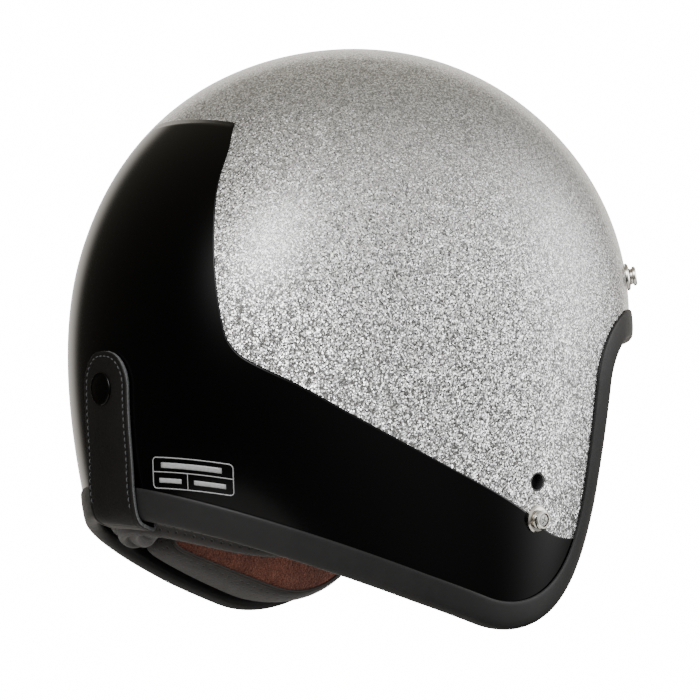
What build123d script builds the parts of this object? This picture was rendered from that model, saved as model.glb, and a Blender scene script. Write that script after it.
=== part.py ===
"""Open face motorcycle helmet with its liner, snap studs, goggle strap and chin strap.

Millimetres. The rim rests on Z = 0, the face looks along -Y and the wearer's left is +X.
Layers of the helmet are offsets from one outer form, so they nest without touching.
"""

import os
from math import hypot

from build123d import *

os.makedirs("parts", exist_ok=True)

# Outer form: a sphere stretched to the helmet's half sizes, then drawn down at the back and sides
half_width = 120.8
half_length = 134.8
rear_bulge = 5.0
crown_rise = 143.3
widest_level = 121.2
shoulder = 0.109
side_fullness = 0.105
nape_taper = 0.738
drop = 101.5
drop_bias = 12.6
forward_sweep = 41.9
tail_blend = 0.3

# Side profile of the rim and the face opening
nape_rise, nape_y = 2.6, 97.0
rest_y = (-38.0, -5.0)
chin_corner_radius = 58.0
cheek_lean = 15.0
cheek_arc_radius = 100.0
cheek_line = 50.0
temple_radius = 23.0
brow_climb = 7.0
brow_line = 80.0

# Levels well outside the helmet, for zones and cuts that run past it
beyond, below, above = 200.0, -20.0, 330.0

# Layers, as offsets outward from the form
shell_thickness = 4.0
trim_width = 14.0
trim_outside = 1.8
trim_inside = 6.2
trim_bottom = 2.5
fit_gap, hole_gap = 0.1, 0.05
eps_outer, eps_inner = -4.3, -28.0
comfort_outer, comfort_inner = -28.3, -35.0
brow_band_inner = -37.0
neck_outer, neck_inner = -10.0, -34.0
plate_outer, plate_inner = -5.0, -7.0
cheek_outer, cheek_depth = -7.3, 48.0

# Levels and stations of the liner parts
cheek_top, cheek_back = 96.0, 30.0
cheek_face_x = 66.0
pad_setback, comfort_setback = 5.0, 18.0
eps_side_level, eps_rear_level = 98.5, 45.0
neck_top, neck_front, neck_bottom = 43.0, 32.5, 4.0
comfort_rear_level = 62.0
brow_band_top, brow_band_back = 200.0, -32.0

# Snap studs, their screws and nuts, and the side vents
side_stud_y, side_stud_z = -50.0, 56.0
side_vent_y, side_vent_z = -43.5, 72.0
brow_stud_x, brow_stud_z = 72.0, 190.0
brow_centre_z = 194.0
stud_radius, stud_head_radius, stud_height = 6.5, 4.6, 4.9
screw_radius, screw_head_radius = 1.75, 3.1
nut_radius, nut_height, nut_level = 5.0, 2.4, -4.3
screw_seat, screw_end = 3.6, -7.0
vent_radius, vent_wall = 4.6, 0.8

# Goggle strap
strap_width, strap_top, strap_corner = 34.0, 77.0, 13.0
strap_inner, strap_leather = 2.2, 2.2
strap_axis_z = 1.4
strap_snap_z = 58.0
strap_root_top, strap_floor = 26.0, 0.2
root_outer, root_rivet_x, root_rivet_z, root_rivet_radius = -6.5, 9.0, 21.5, 1.5
snap_cap_radius, snap_hole_radius, socket_top = 7.8, 2.6, 1.9

# Chin strap: webbing folded up against the cheek pads
chin_x, chin_y, chin_z = 62.5, -45.0, 38.0
webbing_width, webbing_thickness = 24.0, 2.0
sleeve_width, sleeve_thickness, sleeve_along = 30.0, 5.0, (10.0, 49.0)
keeper_along = (50.5, 57.0)
housing_width, housing_wall, housing_along = 27.0, 1.2, (66.0, 110.0)
bar_radius, bar_along, bar_depth = 1.2, 74.0, 1.3
pivot_along, pivot_depth = 86.0, 2.5
lever_width, lever_along = 22.0, (81.0, 114.0)
spring_radius, spring_width = 2.1, 8.0
tooth_count, tooth_pitch, first_tooth = 9, 3.2, 79.0
slot_width, slot_height = 28.0, 5.0
anchor_rise, anchor_length, anchor_height, anchor_level = 5.0, 30.0, 13.0, -5.6
anchor_thickness, anchor_rivet_radius, anchor_foot_radius, rivet_pocket = 1.5, 2.0, 3.4, -1.6
leg_height = 16.0

# Drill and pocket lengths; each is centred on the form's surface
through, nut_pocket, anchor_pocket = 30.0, 20.0, 24.0
anchor_window = (anchor_length + 2, 22.0, anchor_pocket)


def on_form(u, v):
    """Point of the outer form; u, v is a square map of the sphere centred on the crown."""
    scale = 2 / (1 + u * u + v * v)
    sx, sy, sz = u * scale, v * scale, scale - 1
    tail = ((hypot(sz, tail_blend) - sz) / 2) ** 2
    swell = 1 + shoulder * sz * sz * (1 - sz * sz)
    x = half_width * sx * swell * (1 - nape_taper * sy * tail + side_fullness * (1 - sx * sx))
    y = swell * (half_length * sy + rear_bulge * sy * sy) - forward_sweep * tail
    z = widest_level + crown_rise * sz - (drop - drop_bias * sy) * tail
    return Vector(x, y, z)


def normal_at(u, v, step=1e-3):
    """Outward unit normal of the form."""
    along_u = on_form(u + step, v) - on_form(u - step, v)
    along_v = on_form(u, v + step) - on_form(u, v - step)
    return along_u.cross(along_v).normalized()


def form_face(offset, u_range, v_range, count=33):
    """Smooth face at an offset from the form over part of the square map."""
    def at(span, i):
        return span[0] + (span[1] - span[0]) * i / (count - 1)
    grid = []
    for i in range(count):
        row = [(at(u_range, i), at(v_range, j)) for j in range(count)]
        grid.append([on_form(u, v) + normal_at(u, v) * offset for u, v in row])
    return Face.make_surface_from_array_of_points(grid, tol=0.02, min_deg=3, max_deg=3)


whole = ((-2.1, 2.1), (-2.1, 2.1))
rear = ((-1.8, 1.8), (0.2, 2.9))


def cheek_zone(hand):
    """Part of the square map over one cheek; hand is 1 on the wearer's left."""
    return ((0.7, 2.7) if hand > 0 else (-2.7, -0.7)), (-1.4, 0.7)


def layer(outer, inner, zone=whole):
    """Solid between two offsets from the form."""
    face = form_face(outer, *zone)
    inward = 1 if face.normal_at().dot(normal_at(sum(zone[0]) / 2, sum(zone[1]) / 2)) < 0 else -1
    return Solid.thicken(face, inward * (outer - inner))


def seat(u, v, first, second):
    """Plane on the form, facing out, where two coordinates have given values.

    first and second are (axis index, value), and u, v is a starting point nearby."""
    step = 1e-4
    (i, a), (j, b) = first, second
    for _ in range(20):
        here = tuple(on_form(u, v))
        du = [(p - q) / step for p, q in zip(tuple(on_form(u + step, v)), here)]
        dv = [(p - q) / step for p, q in zip(tuple(on_form(u, v + step)), here)]
        miss_a, miss_b = a - here[i], b - here[j]
        det = du[i] * dv[j] - dv[i] * du[j]
        u += (miss_a * dv[j] - miss_b * dv[i]) / det
        v += (miss_b * du[i] - miss_a * du[j]) / det
    out = normal_at(u, v)
    return Plane(origin=on_form(u, v), x_dir=Vector(0, 0, 1).cross(out), z_dir=out)


def save(piece, name):
    """Label one finished piece and write its STEP."""
    piece.part.label = name
    export_step(piece.part, f"parts/{name}.step")
    box = piece.part.bounding_box()
    print(name, len(piece.part.solids()), round(piece.part.volume), box)


def side_region(setback):
    """All that lies above the rim and behind the face opening, moved in by setback."""
    nape_slope = nape_rise / (nape_y - rest_y[1])
    with BuildPart() as region:
        with BuildSketch(Plane.YZ):
            with BuildLine():
                floor = Line((rest_y[1], 0), (rest_y[0], 0))
                corner = JernArc(floor @ 1, (-1, 0), chin_corner_radius, -90)
                cheek = JernArc(corner @ 1, (0, 1), cheek_arc_radius, -cheek_lean)
                front = Line(cheek @ 1, cheek @ 1 + (cheek % 1) * cheek_line)
                temple = JernArc(front @ 1, front % 1, temple_radius, 90 + cheek_lean - brow_climb)
                brow = Line(temple @ 1, temple @ 1 + (temple % 1) * brow_line)
                back = (beyond, nape_slope * (beyond - rest_y[1]))
                Polyline(brow @ 1, ((brow @ 1).X, above), (beyond, above), back, floor @ 0)
            make_face()
            if setback:
                offset(amount=-setback, kind=Kind.INTERSECTION, mode=Mode.REPLACE)
        extrude(amount=beyond, both=True)
    return region.part


def block(y_range, z_range, x_range=(-beyond, beyond)):
    """Plain rectangular zone, used to bound a layer."""
    size = [b - a for a, b in (x_range, y_range, z_range)]
    middle = [(a + b) / 2 for a, b in (x_range, y_range, z_range)]
    with BuildPart() as zone:
        with Locations(tuple(middle)):
            Box(*size)
    return zone.part


def turned(points):
    """Solid of revolution about +Z from (radius, height) points of its half section."""
    with BuildPart() as form:
        with BuildSketch(Plane.XZ):
            with BuildLine():
                Polyline(*points, close=True)
            make_face()
        revolve(axis=Axis.Z)
    return form.part


# Places on the form
side_seats = [seat(0.9 * hand, -0.4, (1, side_stud_y), (2, side_stud_z)) for hand in (1, -1)]
brow_seats = [seat(0.35 * hand, -0.8, (0, brow_stud_x * hand), (2, brow_stud_z)) for hand in (1, -1)]
brow_seats.append(seat(0, -0.8, (0, 0), (2, brow_centre_z)))
vent_seats = [seat(0.9 * hand, -0.4, (1, side_vent_y), (2, side_vent_z)) for hand in (1, -1)]
strap_seat = seat(0, 1.3, (0, 0), (2, strap_snap_z))
stud_seats = side_seats + brow_seats
anchor_z = chin_z + anchor_rise
anchor_seats = [seat(0.9 * hand, -0.4, (1, chin_y), (2, anchor_z)) for hand in (1, -1)]
root_rivet_seats = [
    seat(0.1 * hand, 1.7, (0, root_rivet_x * hand), (2, root_rivet_z)) for hand in (1, -1)
]

# Hexagon nut, threaded on the stud screws
with BuildPart() as nut:
    with BuildSketch():
        RegularPolygon(nut_radius, 6)
        Circle(screw_radius + 0.05, mode=Mode.SUBTRACT)
    extrude(amount=-nut_height)
nut_form = nut.part

# Zones shared by the layers
in_trim = side_region(trim_bottom)
above_trim = side_region(trim_width)
screw_hole = screw_radius + hole_gap
trim_slot = layer(fit_gap, -shell_thickness - fit_gap) & side_region(trim_bottom - fit_gap)
rim_zone = side_region(0)
inside_brow = side_region(comfort_setback)
cheek_cut = block((-beyond, cheek_back + 1), (below, eps_side_level))
eps_rear_cut = block((-beyond, beyond), (below, eps_rear_level))
comfort_rear_cut = block((-beyond, beyond), (below, comfort_rear_level))
band_zone = block((-beyond, brow_band_back), (eps_side_level, brow_band_top))
band_cut = block((-beyond, brow_band_back + 0.5), (below, brow_band_top + 0.5))
neck_zone = block((neck_front, beyond), (neck_bottom, neck_top))

# Outer shell, with its holes for the studs, the side vents and the goggle strap's stud
with BuildPart() as outer_shell:
    add(layer(0, -shell_thickness))
    add(in_trim, mode=Mode.INTERSECT)
    with Locations(*stud_seats, strap_seat):
        Cylinder(screw_hole, through, mode=Mode.SUBTRACT)
    with Locations(*vent_seats):
        Cylinder(vent_radius, through, mode=Mode.SUBTRACT)
    with Locations(*root_rivet_seats):
        Cylinder(root_rivet_radius + hole_gap, through, mode=Mode.SUBTRACT)
    with Locations(*[plane.offset(rivet_pocket - through / 2) for plane in anchor_seats]):
        Cylinder(anchor_rivet_radius + hole_gap, through, mode=Mode.SUBTRACT)
save(outer_shell, "outer_shell")

# Edge trim: a rubber channel that grips the shell's rim all round
with BuildPart() as edge_trim:
    add(layer(trim_outside, -trim_inside))
    add(rim_zone, mode=Mode.INTERSECT)
    add(above_trim, mode=Mode.SUBTRACT)
    add(trim_slot, mode=Mode.SUBTRACT)
save(edge_trim, "edge_trim")

# Impact liner: thick foam bonded inside the shell, cut back for the cheek pads and the neck roll
with BuildPart() as eps_liner:
    add(layer(eps_outer, eps_inner))
    add(above_trim, mode=Mode.INTERSECT)
    add(cheek_cut, mode=Mode.SUBTRACT)
    add(eps_rear_cut, mode=Mode.SUBTRACT)
    with Locations(*brow_seats, strap_seat):
        Cylinder(nut_radius + 0.5, nut_pocket, mode=Mode.SUBTRACT)
save(eps_liner, "eps_liner")

# Comfort liner: plush over the crown, and a fabric brow band
with BuildPart() as crown_liner:
    add(layer(comfort_outer, comfort_inner))
    add(inside_brow, mode=Mode.INTERSECT)
    add(comfort_rear_cut, mode=Mode.SUBTRACT)
    add(cheek_cut, mode=Mode.SUBTRACT)
    add(band_cut, mode=Mode.SUBTRACT)
save(crown_liner, "crown_liner")

with BuildPart() as brow_band:
    add(layer(comfort_outer, brow_band_inner))
    add(inside_brow, mode=Mode.INTERSECT)
    add(band_zone, mode=Mode.INTERSECT)
save(brow_band, "brow_band")

# Neck roll: a padded roll round the back of the rim
with BuildPart() as neck_roll:
    add(layer(neck_outer, neck_inner, rear))
    add(neck_zone, mode=Mode.INTERSECT)
save(neck_roll, "neck_roll")

# Cheek pads: a backing plate against the shell and a thick pad with a slot for the chin strap
strap_slot = block(
    (chin_y - slot_width / 2, chin_y + slot_width / 2),
    (chin_z - slot_height / 2, chin_z + slot_height / 2),
)
pad_outline = side_region(pad_setback)
for index, side in enumerate(("left", "right")):
    hand = 1 - 2 * index
    inner_limits = sorted((hand * cheek_face_x, hand * 170))
    pad_zone = block((-200, cheek_back), (neck_bottom, cheek_top), inner_limits)
    with BuildPart() as cheek_plate:
        add(layer(plate_outer, plate_inner, cheek_zone(hand)))
        add(above_trim, mode=Mode.INTERSECT)
        add(pad_zone, mode=Mode.INTERSECT)
        with Locations(side_seats[index], vent_seats[index]):
            Cylinder(nut_radius + 0.7, nut_pocket, mode=Mode.SUBTRACT)
        with Locations(anchor_seats[index]):
            Box(*anchor_window, mode=Mode.SUBTRACT)
    save(cheek_plate, f"cheek_plate_{side}")
    with BuildPart() as cheek_pad:
        add(layer(cheek_outer, cheek_outer - cheek_depth, cheek_zone(hand)))
        add(pad_outline, mode=Mode.INTERSECT)
        add(pad_zone, mode=Mode.INTERSECT)
        add(strap_slot, mode=Mode.SUBTRACT)
        with Locations(side_seats[index], vent_seats[index]):
            Cylinder(nut_radius + 0.7, nut_pocket, mode=Mode.SUBTRACT)
        with Locations(anchor_seats[index]):
            Box(*anchor_window, mode=Mode.SUBTRACT)
    save(cheek_pad, f"cheek_pad_{side}")

# Snap studs, each held by a cross-head screw through the shell into a nut
stud_form = turned([
    (screw_hole, 0), (stud_radius, 0), (stud_radius, 0.9), (5.7, 1.5), (4.2, 1.7), (3.7, 2.2),
    (3.7, 2.9), (stud_head_radius, 3.4), (stud_head_radius, 4.4), (3.9, stud_height),
    (screw_head_radius + 0.2, stud_height), (screw_head_radius + 0.2, screw_seat),
    (screw_hole, screw_seat),
])
with BuildPart() as side_snap_studs:
    with Locations(*side_seats):
        add(stud_form)
save(side_snap_studs, "side_snap_studs")

with BuildPart() as brow_snap_studs:
    with Locations(*brow_seats):
        add(stud_form)
save(brow_snap_studs, "brow_snap_studs")

screw_form = turned([
    (0, screw_end), (screw_radius, screw_end), (screw_radius, screw_seat),
    (screw_head_radius, screw_seat), (screw_head_radius, 4.2), (2.4, 4.7), (0, 4.8),
])
with BuildPart() as stud_screws:
    with Locations(*stud_seats):
        add(screw_form)
        with Locations((0, 0, 4.6)):
            Box(3.8, 0.7, 1.4, mode=Mode.SUBTRACT)
            Box(0.7, 3.8, 1.4, mode=Mode.SUBTRACT)
save(stud_screws, "stud_screws")

with BuildPart() as stud_nuts:
    with Locations(*[plane.offset(nut_level) for plane in (*stud_seats, strap_seat)]):
        add(nut_form)
save(stud_nuts, "stud_nuts")

# Side vents: blind plastic cups let into the shell
vent_lip = vent_radius + 0.7
vent_cup = vent_radius - 0.05
with BuildPart() as side_vent_cups:
    with Locations(*vent_seats):
        add(turned([
            (0, -6.5), (vent_lip, -6.5), (vent_lip, -4.3), (vent_cup, -4.3), (vent_cup, -0.3),
            (vent_cup - vent_wall, -0.3), (vent_cup - vent_wall, -5.3), (0, -5.3),
        ]))
save(side_vent_cups, "side_vent_cups")

# Goggle strap: a leather tab snapped to the back of the shell; its root passes under the trim
def tab_outline(z_low, z_high, corner):
    """Strap-wide prism along Y, with its two top corners rounded."""
    with BuildPart() as tab:
        with BuildSketch(Plane.XZ) as face:
            with Locations((0, (z_low + z_high) / 2)):
                Rectangle(strap_width, z_high - z_low)
            if corner:
                fillet(face.vertices().group_by(Axis.Y)[-1], corner)
        extrude(amount=-beyond)
    return tab.part


strap_outer = strap_inner + strap_leather
tab_zone = tab_outline(strap_axis_z, strap_top, strap_corner)
root_zone = tab_outline(strap_floor, strap_root_top, 0)
under_trim = layer(strap_inner - 0.8, root_outer, rear) & tab_outline(strap_floor, strap_floor + 1.9, 0)

with BuildPart() as goggle_strap:
    add(layer(strap_outer, strap_inner, rear))
    add(tab_zone, mode=Mode.INTERSECT)
    with Locations(strap_seat):
        Cylinder(snap_hole_radius, through, mode=Mode.SUBTRACT)
save(goggle_strap, "goggle_strap")

with BuildPart() as goggle_strap_root:
    add(layer(root_outer, root_outer - strap_leather, rear))
    add(root_zone, mode=Mode.INTERSECT)
    add(under_trim)
    with Locations(*root_rivet_seats):
        Cylinder(root_rivet_radius + hole_gap, through, mode=Mode.SUBTRACT)
save(goggle_strap_root, "goggle_strap_root")

with BuildPart() as goggle_root_rivets:
    head, shank = 2 * root_rivet_radius, root_rivet_radius
    inner_head = root_outer - strap_leather - 0.1
    with Locations(*root_rivet_seats):
        add(turned([
            (0, 1.2), (head - 0.8, 1.2), (head, 0.4), (head, 0.05), (shank, 0.05),
            (shank, inner_head), (head, inner_head), (head, inner_head - 0.8), (0, inner_head - 0.8),
        ]))
save(goggle_root_rivets, "goggle_root_rivets")

with BuildPart() as goggle_stud:
    with Locations(strap_seat):
        add(turned([
            (0, 1.9), (1.6, 1.9), (2.1, 1.5), (2.1, 1.2), (1.7, 0.5), (5.0, 0.5), (5.0, 0.05),
            (screw_radius, 0.05), (screw_radius, screw_end), (0, screw_end),
        ]))
save(goggle_stud, "goggle_stud")

with BuildPart() as goggle_strap_socket:
    with Locations(strap_seat):
        add(turned([(2.4, 0.7), (5.5, 0.7), (5.5, socket_top), (2.4, socket_top)]))
save(goggle_strap_socket, "goggle_strap_socket")

with BuildPart() as goggle_strap_cap:
    cap_level = strap_outer + 0.1
    with Locations(strap_seat):
        add(turned([
            (0, 2.4), (2.5, 2.4), (2.5, cap_level), (snap_cap_radius, cap_level),
            (snap_cap_radius, cap_level + 0.6), (snap_cap_radius - 1.2, cap_level + 1.5),
            (4.5, cap_level + 2.0), (0, cap_level + 2.2),
        ]))
save(goggle_strap_cap, "goggle_strap_cap")

# Chin strap roots: webbing from a riveted plate inside the shell, out through the cheek pad's slot
with BuildPart() as chin_anchor_plates:
    for plane in anchor_seats:
        with BuildSketch(plane.offset(anchor_level)):
            RectangleRounded(anchor_length, anchor_height, 3)
            Circle(anchor_rivet_radius + hole_gap, mode=Mode.SUBTRACT)
        extrude(amount=-anchor_thickness)
save(chin_anchor_plates, "chin_anchor_plates")
web_level = anchor_level - anchor_thickness - 0.3

with BuildPart() as chin_anchor_rivets:
    rivet_foot = web_level - webbing_thickness - 0.1
    with Locations(*anchor_seats):
        add(turned([
            (0, rivet_pocket - 0.1), (anchor_rivet_radius, rivet_pocket - 0.1),
            (anchor_rivet_radius, rivet_foot), (anchor_foot_radius, rivet_foot),
            (anchor_foot_radius, rivet_foot - 0.8), (2.4, rivet_foot - 1.6), (0, rivet_foot - 1.6),
        ]))
save(chin_anchor_rivets, "chin_anchor_rivets")

for index, side in enumerate(("left", "right")):
    hand = 1 - 2 * index
    leg_plane = anchor_seats[index].offset(web_level)
    run_start, run_end = hand * (chin_x + 1.7), leg_plane.origin.X + hand * 3
    with BuildPart() as chin_strap_root:
        with Locations(((run_start + run_end) / 2, chin_y, chin_z)):
            Box(abs(run_end - run_start), webbing_width, webbing_thickness)
        with Locations(leg_plane.offset(through / 2)):
            Box(beyond, beyond, through, mode=Mode.SUBTRACT)
        with BuildSketch(leg_plane):
            Rectangle(webbing_width, leg_height)
        extrude(amount=-webbing_thickness)
        with Locations(anchor_seats[index]):
            Cylinder(anchor_rivet_radius + hole_gap, anchor_pocket, mode=Mode.SUBTRACT)
    save(chin_strap_root, f"chin_strap_root_{side}")


# Chin strap halves: each folds up against its cheek pad about an axis along Y at the pad's slot
def strap_box(hand, across, along, depth):
    """Box on a folded strap: across in Y, along above the axis, depth towards the head."""
    x_range = sorted(hand * (chin_x - d) for d in depth)
    return block((chin_y - across / 2, chin_y + across / 2), [chin_z + a for a in along], x_range)


def cross_pin(hand, radius, length, along, depth):
    """Cylinder along Y through a folded strap."""
    centre = (hand * (chin_x - depth), chin_y, chin_z + along)
    with BuildPart() as rod:
        with Locations(Location(centre, (90, 0, 0))):
            Cylinder(radius, length)
    return rod.part


half_web = webbing_thickness / 2
webbing_bore = (webbing_width + 0.6, (0, bar_along), (-half_web - 0.2, half_web + 0.2))
for hand, side in ((1, "left"), (-1, "right")):
    with BuildPart() as chin_webbing:
        if hand > 0:
            add(strap_box(hand, webbing_width, (0, bar_along), (-half_web, half_web)))
            add(cross_pin(hand, 2.4, webbing_width, bar_along, bar_depth))
            add(cross_pin(hand, bar_radius + fit_gap, beyond, bar_along, bar_depth), mode=Mode.SUBTRACT)
        else:
            add(strap_box(hand, webbing_width, (0, 58.5), (-half_web, half_web)))
            add(strap_box(hand, webbing_width, (58, 69.6), (-2.4, 2.4)))
            add(strap_box(hand, webbing_width + 2, (61.8, 66.75), (-1, 1)), mode=Mode.SUBTRACT)
        add(cross_pin(hand, half_web + 0.2, webbing_width, 0, 0))
    save(chin_webbing, f"chin_webbing_{side}")

    with BuildPart() as chin_sleeve:
        add(strap_box(hand, sleeve_width, sleeve_along, (-sleeve_thickness / 2, sleeve_thickness / 2)))
        fillet(chin_sleeve.edges().filter_by(Axis.Z), sleeve_thickness / 2 - 0.3)
        add(strap_box(hand, *webbing_bore), mode=Mode.SUBTRACT)
    save(chin_sleeve, f"chin_sleeve_{side}")

# Buckle on the left half: a channel with a sprung lever that locks the toothed tongue
with BuildPart() as buckle_housing:
    add(strap_box(1, housing_width, housing_along, (-2.6, 5)))
    add(strap_box(1, housing_width - 2 * housing_wall, (0, beyond), (-1.4, beyond)), mode=Mode.SUBTRACT)
    add(cross_pin(1, bar_radius, beyond, bar_along, bar_depth), mode=Mode.SUBTRACT)
    add(cross_pin(1, bar_radius, beyond, pivot_along, pivot_depth), mode=Mode.SUBTRACT)
    fillet(buckle_housing.edges().filter_by(Axis.Y).group_by(SortBy.LENGTH)[-1], 0.4)
save(buckle_housing, "buckle_housing")

for name, along, depth in (
    ("buckle_bar", bar_along, bar_depth),
    ("buckle_lever_pin", pivot_along, pivot_depth),
):
    with BuildPart() as rod:
        add(cross_pin(1, bar_radius, housing_width, along, depth))
    save(rod, name)

with BuildPart() as buckle_lever_spring:
    add(cross_pin(1, spring_radius, spring_width, pivot_along, pivot_depth))
    add(cross_pin(1, bar_radius + fit_gap, beyond, pivot_along, pivot_depth), mode=Mode.SUBTRACT)
save(buckle_lever_spring, "buckle_lever_spring")

with BuildPart() as buckle_lever:
    add(strap_box(1, lever_width, lever_along, (5.3, 6.8)))
    fillet(buckle_lever.edges().filter_by(Axis.X), 3)
    lugs = strap_box(1, lever_width, (pivot_along - 3, pivot_along + 3), (0.4, 5.4))
    add(lugs - strap_box(1, lever_width - 4, (0, beyond), (0, 5.3)))
    add(strap_box(1, 14, (pivot_along + 7, pivot_along + 9), (2.6, 5.4)))
    add(cross_pin(1, bar_radius + hole_gap, beyond, pivot_along, pivot_depth), mode=Mode.SUBTRACT)
save(buckle_lever, "buckle_lever")

# Toothed tongue and keeper on the right half
with BuildPart() as buckle_tongue:
    add(strap_box(-1, 30, (62, 73), (-0.8, 0.8)))
    add(strap_box(-1, 20, (72, 112), (-0.8, 0.8)))
    fillet(buckle_tongue.edges().filter_by(Axis.X), 2)
    add(strap_box(-1, webbing_width + 0.6, (66.6, 69.8), (-2, 2)), mode=Mode.SUBTRACT)
    for tooth in range(tooth_count):
        start = first_tooth + tooth * tooth_pitch
        add(strap_box(-1, 15, (start, start + tooth_pitch / 2), (0.7, 1.7)))
save(buckle_tongue, "buckle_tongue")

with BuildPart() as strap_keeper:
    add(strap_box(-1, 29, keeper_along, (-2.6, 2.6)))
    fillet(strap_keeper.edges().filter_by(Axis.Z), 1.2)
    add(strap_box(-1, *webbing_bore), mode=Mode.SUBTRACT)
save(strap_keeper, "strap_keeper")
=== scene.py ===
"""Looks of the open face motorcycle helmet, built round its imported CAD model.

Metres and degrees in Blender; the sizes below are millimetres and mm turns them into metres.
+X is the wearer's left, the face looks along -Y and the rim rests on Z = 0.
"""

from functools import cache
from math import cos, pi, radians, sin, sqrt

import bmesh
import bpy
import numpy as np
from mathutils import Matrix, Vector


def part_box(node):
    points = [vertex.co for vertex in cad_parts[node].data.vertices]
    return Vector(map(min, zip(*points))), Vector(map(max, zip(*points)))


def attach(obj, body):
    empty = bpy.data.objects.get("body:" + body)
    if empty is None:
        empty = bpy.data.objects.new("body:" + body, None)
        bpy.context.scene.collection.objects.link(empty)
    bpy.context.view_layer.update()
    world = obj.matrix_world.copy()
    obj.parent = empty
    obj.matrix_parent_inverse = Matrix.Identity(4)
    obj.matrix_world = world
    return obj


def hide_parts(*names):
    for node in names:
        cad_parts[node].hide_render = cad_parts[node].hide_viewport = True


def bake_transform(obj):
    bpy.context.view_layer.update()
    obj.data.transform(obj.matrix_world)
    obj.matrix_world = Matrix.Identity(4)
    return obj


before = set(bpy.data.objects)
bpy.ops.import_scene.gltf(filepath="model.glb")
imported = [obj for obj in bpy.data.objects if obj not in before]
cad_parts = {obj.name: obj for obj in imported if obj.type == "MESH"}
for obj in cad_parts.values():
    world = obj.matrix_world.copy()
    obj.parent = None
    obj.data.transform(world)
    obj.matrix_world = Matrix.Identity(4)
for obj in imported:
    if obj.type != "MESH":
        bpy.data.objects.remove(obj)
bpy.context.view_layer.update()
mm = 0.001

# -------- sizes shared with the CAD parts
# Outer form: a sphere stretched to the helmet's half sizes, then drawn down at the back and sides
half_width, half_length, rear_bulge = 120.8, 134.8, 5.0
crown_rise, widest_level = 143.3, 121.2
shoulder, side_fullness, nape_taper = 0.109, 0.105, 0.738
drop, drop_bias, forward_sweep, tail_blend = 101.5, 12.6, 41.9, 0.3

# Side profile of the rim and the face opening, in Y and Z
nape_rise, nape_y = 2.6, 97.0
rest_front, rest_back = -38.0, -5.0
chin_corner_radius, cheek_lean, cheek_arc_radius, cheek_line = 58.0, 15.0, 100.0, 50.0
temple_radius, brow_climb, brow_line = 23.0, 7.0, 80.0
beyond = 200.0

shell_thickness, shell_setback = 4.0, 2.5
trim_width, trim_outside, trim_inside = 14.0, 1.9, 6.2
vent_y, vent_z, vent_radius = -43.5, 72.0, 4.6

# Goggle strap, not shared: about halfway from its CAD solid, which is centred, to its place in the photo
strap_width, strap_top, strap_corner, strap_half_thickness = 33.6, 73.6, 15.0, 1.1
strap_middle, strap_lie, strap_over_trim, seam_inset = -3.0, 1.7, 3.6, 2.6
strap_turn = 0.4  # offset from the form at which the tab becomes the root
cap_middle, cap_level = -2.2, 57.6


def running_length(line):
    """Running length along a line of points."""
    return np.concatenate([[0], np.cumsum(np.linalg.norm(np.diff(line, axis=0), axis=1))])


def resample(line, run, places):
    """Points of a line, whose running length is given, at other places along it."""
    return np.stack([np.interp(places, run, column) for column in np.transpose(line)], -1)


def unit(vectors):
    """Vectors of length one."""
    return vectors / np.linalg.norm(vectors, axis=-1, keepdims=True)


def alike(a, b):
    """Two arrays of numbers in one common shape."""
    return np.broadcast_arrays(np.asarray(a, float), np.asarray(b, float))


def ease(share):
    """Smooth step from 0 to 1."""
    share = np.clip(share, 0, 1)
    return share * share * (3 - 2 * share)


def last_inside(outside, low, high):
    """Halves the gap between low and high until it shuts on the place where outside() turns true."""
    for _ in range(40):
        middle = (low + high) / 2
        out = outside(middle)
        low, high = np.where(out, low, middle), np.where(out, middle, high)
    return low


# -------- the outer form
def on_form(u, v):
    """Points of the outer form; u, v is a square map of the sphere centred on the crown."""
    scale = 2 / (1 + u * u + v * v)
    sx, sy, sz = u * scale, v * scale, scale - 1
    tail = ((np.hypot(sz, tail_blend) - sz) / 2) ** 2
    fullness = 1 + shoulder * sz * sz * (1 - sz * sz)
    x = half_width * sx * fullness * (1 - nape_taper * sy * tail + side_fullness * (1 - sx * sx))
    y = fullness * (half_length * sy + rear_bulge * sy * sy) - forward_sweep * tail
    z = widest_level + crown_rise * sz - (drop - drop_bias * sy) * tail
    return np.stack([x, y, z], -1)


def slopes(u, v, field=lambda points: points, step=1e-4):
    """Change along u and along v of a field of the form's points; the points themselves unless given."""
    along_u = (field(on_form(u + step, v)) - field(on_form(u - step, v))) / (2 * step)
    along_v = (field(on_form(u, v + step)) - field(on_form(u, v - step))) / (2 * step)
    return along_u, along_v


def normal_at(u, v):
    """Outward unit normals of the form."""
    return unit(np.cross(*slopes(u, v)))


def at_offset(u, v, offset):
    """Points at an offset outward from the form, in millimetres."""
    return on_form(u, v) + normal_at(u, v) * np.broadcast_to(offset, np.shape(u))[..., None]


def solve(u, v, miss, rounds=30):
    """Moves u, v until both values that miss(points) gives are zero."""
    u, v = np.array(u, float), np.array(v, float)
    step, longest = 1e-5, 0.2
    for _ in range(rounds):
        a, b = miss(on_form(u, v))
        a_u, b_u = miss(on_form(u + step, v))
        a_v, b_v = miss(on_form(u, v + step))
        a_u, b_u, a_v, b_v = (a_u - a) / step, (b_u - b) / step, (a_v - a) / step, (b_v - b) / step
        det = a_u * b_v - a_v * b_u
        u = u + np.clip((b * a_v - a * b_v) / det, -longest, longest)
        v = v + np.clip((a * b_u - b * a_u) / det, -longest, longest)
    return u, v


def by_x_and_z(x, z):
    """Map places on the back of the form with these X and Z."""
    x, z = alike(x, z)
    return solve(x * 0.01, 1.9 - z * 0.006, lambda p: (p[..., 0] - x, p[..., 2] - z))


def by_y_and_z(y, z, hand):
    """Map places on one side of the form with these Y and Z."""
    y, z = alike(y, z)
    return solve(1.3 * hand + 0 * y, y * 0.01, lambda p: (p[..., 1] - y, p[..., 2] - z))


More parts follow.
